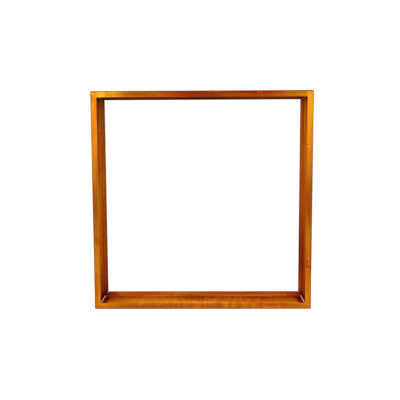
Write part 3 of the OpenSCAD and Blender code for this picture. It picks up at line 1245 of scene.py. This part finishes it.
def varnished_wood(name, finish, marks_and_glints=()):
    """Amber varnish over long-grained wood, toned by what is stored on the board's points, which
    carries painted shade and painted highlights besides the stain.
    """
    made = Finish(name)
    grain = made.stored("grain", "Vector")

    # The growth rings, which waver along the board.
    drift = made.noise(grain, (9.0, 40.0, 40.0), 2.0)
    waver = made.add("ShaderNodeCombineXYZ", {
        "Y": made.math("MULTIPLY", drift, 9 * MM), "Z": made.math("MULTIPLY", drift, 6 * MM),
    }).outputs[0]
    rings = made.add("ShaderNodeTexWave", {
        "Vector": made.vector_math("ADD", grain, waver).outputs[0], "Scale": 95.0,
        "Distortion": 1.6, "Detail": 2.0, "Detail Scale": 0.4,
    }, wave_type="RINGS", rings_direction="X", wave_profile="SAW").outputs["Fac"]

    # Fibres and cloudy patches along the grain, and bars of figure across it.
    fibre = made.noise(grain, (24.0, 950.0, 950.0), 4.0, 0.6)
    patches = made.noise(grain, (16.0, 60.0, 60.0))
    bars = made.noise(grain, (210.0, 40.0, 40.0), 1.0)
    barred = made.math("MULTIPLY", made.weighted(bars, 0.55), made.stored("figure"))

    # The stored stain holds painted shade and painted highlights too.
    tone = made.stored("stain")
    for layer, weight in ((rings, 0.10), (fibre, 0.20), (patches, 0.30)):
        tone = made.math("ADD", tone, made.weighted(layer, weight))
    tone = made.math("ADD", tone, barred)
    for mark in marks_and_glints:
        tone = made.math("ADD", tone, made.marked(mark))
    last = len(WOOD_COLOURS) - 1
    stained = made.ramp(made.math("MULTIPLY", tone, 1 / PALEST), *(
        (step / last, getattr(finish, shade)) for step, shade in enumerate(WOOD_COLOURS)
    ))

    # The stain's own turns of hue, in wide streaks, and as stored, which also holds painted
    # tints of light and shade. A hue of 0.5 changes nothing.
    streaks = made.noise(grain, (13.0, 150.0, 150.0), 2.0)
    turn = made.math("MULTIPLY", made.stored("hue"), 1 / FULL_TURN)
    hue = made.math("ADD", made.remap(streaks, 0.32, 0.68, 0.488, 0.514), turn)
    turned = made.add("ShaderNodeHueSaturation", {"Hue": hue, "Color": stained}).outputs["Color"]

    # Pores that took more stain, and dirt with painted shade over everything.
    pores = made.remap(made.noise(grain, (75.0, 2700.0, 2700.0), 2.0), 0.64, 0.74)
    darkened = made.mixed(made.math("MULTIPLY", pores, 0.4), turned, finish.deep)
    dirt_and_shade = made.math("MULTIPLY", made.stored("grime"), 0.9)

    gloss = made.remap(made.stored("polish"), 0.0, 1.0, finish.gloss, finish.rubbed_gloss)
    made.set(
        Base_Color=made.mixed(dirt_and_shade, darkened, finish.grime),
        Roughness=made.remap(fibre, 0.3, 0.7, 0.36, 0.5),
        Normal=made.bump(pores, 0.3, -0.05 * MM, Normal=made.bump(fibre, 0.25, 0.06 * MM)),
        Specular_IOR_Level=0.0, Coat_Weight=gloss, Coat_Roughness=0.22,
    )
    return made.material


def metal(name, shade, roughness, scratch_scale):
    """Plated metal with fine scratches and a little tarnish."""
    made = Finish(name)
    place = made.place()
    scratches = made.noise(place, scratch_scale, 4.0, 0.7)
    tarnish = made.remap(made.noise(place, 900.0), 0.3, 0.7)
    made.set(
        Base_Color=made.uneven(tarnish, shade, 0.78), Metallic=1.0,
        Roughness=made.remap(scratches, 0.3, 0.7, 0.75 * roughness, 1.3 * roughness),
        Normal=made.bump(scratches, 0.2, 0.02 * MM),
    )
    return made.material


def dried_glue(name, finish, shine):
    """Lumpy glue, more or less of it brushed over with varnish; the dark varnished colour is
    partly painted shade.
    """
    made = Finish(name)
    lumps = made.noise(made.place(), 1400.0)
    bare = made.uneven(made.remap(lumps, 0.35, 0.65), finish.glue, 0.8)
    made.set(
        Base_Color=made.mixed(made.stored("varnish"), bare, finish.varnished_glue_in_shade),
        Normal=made.bump(lumps, 0.35, 0.1 * MM),
        Roughness=0.3, Specular_IOR_Level=shine,
    )
    return made.material


def clear_rubber(finish):
    """Grey rubber that lets some light through."""
    made = Finish("clear grey bumper")
    haze = made.noise(made.place(), 700.0)
    made.set(
        Base_Color=made.uneven(made.remap(haze, 0.3, 0.7), finish.rubber, 0.88),
        Roughness=made.remap(haze, 0.3, 0.7, 0.3, 0.42),
        Transmission_Weight=0.35, IOR=1.48,
    )
    return made.material


# ---------------------------------------------------------------- stage

WHITE = (1.0, 1.0, 1.0, 1.0)
# Width of the camera's sensor, in millimetres.
SENSOR = 36.0
# Each lamp with its setting, the width and height of its light, and its place.
LAMPS = (
    ("top lamp", "top_lamp", (1.5, 0.9), (0.0, -0.62, 1.25)),
    ("left lamp", "side_lamp", (0.8, 1.0), (-1.5, -0.7, 0.6)),
    ("right lamp", "side_lamp", (0.8, 1.0), (1.5, -0.7, 0.6)),
)


def seen_share(graph):
    """1 for rays from the camera, and for those that metal or glass sends on to it."""
    path = graph.add("ShaderNodeLightPath")
    found = path.outputs["Is Camera Ray"]
    for name in ("Is Glossy Ray", "Is Transmission Ray"):
        found = graph.math("MAXIMUM", found, path.outputs[name])
    return found


def lay_floor(stage):
    """A wide floor that is seen nearly white and keeps the frame's shadow."""
    half = stage.floor_size / 2
    steps = 8
    row = steps + 1
    places = [half * (2 * i / steps - 1) for i in range(row)]
    points = [(x, y, 0.0) for y in places for x in places]
    firsts = [j * row + i for j in range(steps) for i in range(steps)]
    faces = [(a, a + 1, a + row + 1, a + row) for a in firsts]
    floor = make_object("stage_floor", points, faces)
    made = Finish("white floor")
    made.set(
        Base_Color=(*stage.floor_colour, 1.0), Roughness=0.9, Specular_IOR_Level=0.0,
        Emission_Color=WHITE,
        Emission_Strength=made.math("MULTIPLY", seen_share(made), stage.floor_lift),
    )
    floor.data.materials.append(made.material)


def light_room(scene, stage):
    """Even light from all round, with plain white wherever it is seen."""
    world = bpy.data.worlds.new("white room")
    world.use_nodes = True
    graph = Graph(world.node_tree)
    nodes = world.node_tree.nodes
    graph.feed(nodes["Background"], {"Color": WHITE, "Strength": stage.room_light})
    white = graph.add("ShaderNodeBackground", {"Color": WHITE})
    mix = graph.add("ShaderNodeMixShader", {
        0: seen_share(graph), 1: nodes["Background"].outputs[0], 2: white.outputs[0],
    })
    graph.feed(nodes["World Output"], {"Surface": mix.outputs[0]})
    scene.world = world


def place_lamp(name, watts, size, place):
    """A soft lamp aimed at the middle of the frame."""
    data = bpy.data.lights.new(name, "AREA")
    data.shape = "RECTANGLE"
    data.size, data.size_y = size
    data.energy = watts
    lamp = bpy.data.objects.new(name, data)
    lamp.location = place
    aim = Vector((0, 0, FRAME_H / 2)) - Vector(place)
    lamp.rotation_euler = aim.to_track_quat("-Z", "Y").to_euler()
    bpy.context.scene.collection.objects.link(lamp)


def set_camera(scene, stage):
    """A camera before the frame, a little above it."""
    data = bpy.data.cameras.new("camera")
    data.sensor_width = SENSOR
    data.lens = stage.lens
    camera = bpy.data.objects.new("camera", data)
    camera.location = stage.camera_place
    camera.rotation_euler = stage.camera_turn
    scene.collection.objects.link(camera)
    scene.camera = camera
    scene.view_settings.view_transform = "Standard"


# ---------------------------------------------------------------- operators

# Each board's number picks its piece of timber and its wear: these are the first rail's and
# the first strip's.
FIRST_RAIL = 1
FIRST_STRIP = 11


def settings(context):
    """The sizes, the finish and the stage that the scene is set to."""
    return context.scene.floating_frame


class FLOATFRAME_OT_rails(bpy.types.Operator):
    """Build the four mitred rails, slotted for their V nails"""

    bl_idname = "floatframe.rails"
    bl_label = "Rails"

    def execute(self, context):
        chosen = settings(context)
        sizes = chosen.sizes
        radii = (sizes.front_arris, sizes.back_arris, sizes.sharp_arris, sizes.inner_arris)
        for seed, side in enumerate(SIDE_NAMES, start=FIRST_RAIL):
            board = Board(side, (FRONT_Y, BACK_Y), (0, RAIL_T), radii, seed, sizes)
            slots = [nail_slot(corner, sizes) for corner in CORNER_NAMES if side in corner]
            rail = board.build(side + "_rail_board", slots)
            wood = varnished_wood(side + " rail varnish", chosen.finish, MARKS_AND_GLINTS[side])
            dress(rail, wood, "frame", "rail_wood", side + "_rail")
        return {"FINISHED"}


class FLOATFRAME_OT_stops(bpy.types.Operator):
    """Build the four stop strips"""

    bl_idname = "floatframe.stops"
    bl_label = "Stop strips"

    def execute(self, context):
        chosen = settings(context)
        sizes = chosen.sizes
        radii = (sizes.sharp_arris, sizes.sharp_arris, sizes.sharp_arris, sizes.stop_arris)
        for seed, side in enumerate(SIDE_NAMES, start=FIRST_STRIP):
            board = Board(
                side, (STOP_FRONT_Y, BACK_Y), (RAIL_T, INNER_FACE), radii, seed, sizes
            )
            strip = board.build(side + "_stop_strip")
            wood = varnished_wood(side + " stop varnish", chosen.finish)
            dress(strip, wood, "frame", "stop_wood", side + "_stop")
        return {"FINISHED"}


class FLOATFRAME_OT_fixings(bpy.types.Operator):
    """Build the brads and finish the V nails"""

    bl_idname = "floatframe.fixings"
    bl_label = "Brads and V nails"

    def execute(self, context):
        chosen = settings(context)
        for side in SIDE_NAMES:
            rubbed = side == "bottom"
            shade = chosen.finish.brass if rubbed else chosen.finish.dull_brass
            brass = metal(
                side + " brad brass", shade, 0.3 if rubbed else 0.6, (1500.0, 1500.0, 1500.0)
            )
            node = side + "_stop_brads"
            dress(brads(side, chosen.sizes), brass, "frame", "brad_brass", node)
        # The V nails are the solids themselves, and only get a finish.
        steel = metal("V nail steel", chosen.finish.steel, 0.4, (400.0, 3000.0, 400.0))
        for corner in CORNER_NAMES:
            nails = frame["nodes"][corner + "_v_nails"]
            nails.data.materials.clear()
            nails.data.materials.append(steel)
        return {"FINISHED"}


class FLOATFRAME_OT_glue(bpy.types.Operator):
    """Build the beads of glue in the corners of the recess"""

    bl_idname = "floatframe.glue"
    bl_label = "Glue beads"

    def execute(self, context):
        finish = settings(context).finish
        bare = dried_glue("dried glue", finish, 0.6)
        brushed_over_in_shade = dried_glue("varnished glue", finish, 0.12)
        for seed, corner in enumerate(CORNER_NAMES):
            node = corner + "_glue_bead"
            glue = brushed_over_in_shade if corner.startswith("top") else bare
            dress(glue_bead(corner, seed), glue, "frame", "dried_glue", node)
        return {"FINISHED"}


class FLOATFRAME_OT_hangers(bpy.types.Operator):
    """Build the straps, rings and screws of the two hangers"""

    bl_idname = "floatframe.hangers"
    bl_label = "Ring hangers"

    def execute(self, context):
        chosen = settings(context)
        finish, sizes = chosen.finish, chosen.sizes
        nickel = metal("strap nickel", finish.nickel, 0.32, (3000.0, 3000.0, 500.0))
        wire = metal("ring nickel", finish.nickel, 0.24, (1200.0, 1200.0, 1200.0))
        zinc = metal("screw zinc", finish.zinc, 0.36, (2200.0, 2200.0, 2200.0))
        for hand in HAND_NAMES:
            node = hand + "_hanger_"
            dress(strap(hand, sizes), nickel, "frame", "hanger_steel", node + "strap")
            dress(ring(hand), wire, hand + "_ring", "ring_steel", node + "ring")
            dress(screw(hand, sizes), zinc, "frame", "screw_steel", node + "screw")
        return {"FINISHED"}


class FLOATFRAME_OT_bumpers(bpy.types.Operator):
    """Build the two bumpers"""

    bl_idname = "floatframe.bumpers"
    bl_label = "Bumpers"

    def execute(self, context):
        chosen = settings(context)
        rubber = clear_rubber(chosen.finish)
        for hand in HAND_NAMES:
            pad = bumper(hand, chosen.sizes)
            dress(pad, rubber, "frame", "bumper_rubber", hand + "_bumper")
        return {"FINISHED"}


class FLOATFRAME_OT_stage(bpy.types.Operator):
    """Lay the floor, light it and set the camera"""

    bl_idname = "floatframe.stage"
    bl_label = "Stage"

    def execute(self, context):
        stage = settings(context).stage
        lay_floor(stage)
        light_room(context.scene, stage)
        for name, setting, size, place in LAMPS:
            place_lamp(name, getattr(stage, setting), size, place)
        set_camera(context.scene, stage)
        return {"FINISHED"}


class FloatingFrameSettings(bpy.types.PropertyGroup):
    """Everything that the panel shows"""

    sizes: PointerProperty(type=FrameSizes)
    finish: PointerProperty(type=FrameFinish)
    stage: PointerProperty(type=FrameStage)


STEPS = (
    FLOATFRAME_OT_rails, FLOATFRAME_OT_stops, FLOATFRAME_OT_fixings, FLOATFRAME_OT_glue,
    FLOATFRAME_OT_hangers, FLOATFRAME_OT_bumpers, FLOATFRAME_OT_stage,
)


class FLOATFRAME_PT_panel(bpy.types.Panel):
    """Buttons and settings of the floating frame"""

    bl_label = "Floating Frame"
    bl_idname = "FLOATFRAME_PT_panel"
    bl_space_type = "VIEW_3D"
    bl_region_type = "UI"
    bl_category = "Floating Frame"

    def draw(self, context):
        for step in STEPS:
            self.layout.operator(step.bl_idname)
        chosen = settings(context)
        for group in (chosen.sizes, chosen.finish, chosen.stage):
            box = self.layout.box()
            for name in group.__annotations__:
                box.prop(group, name)


CLASSES = (
    FrameSizes, FrameFinish, FrameStage, FloatingFrameSettings, *STEPS, FLOATFRAME_PT_panel,
)


def register():
    """Makes the operators and the panel known, and gives scenes their settings."""
    for kind in CLASSES:
        bpy.utils.register_class(kind)
    bpy.types.Scene.floating_frame = PointerProperty(type=FloatingFrameSettings)


def unregister():
    """Takes back what was registered."""
    del bpy.types.Scene.floating_frame
    for kind in reversed(CLASSES):
        bpy.utils.unregister_class(kind)


def main():
    """Builds the frame and its stage."""
    register()
    bpy.ops.floatframe.rails()
    bpy.ops.floatframe.stops()
    bpy.ops.floatframe.fixings()
    bpy.ops.floatframe.glue()
    bpy.ops.floatframe.hangers()
    bpy.ops.floatframe.bumpers()
    bpy.ops.floatframe.stage()


if __name__ == "__main__":
    main()
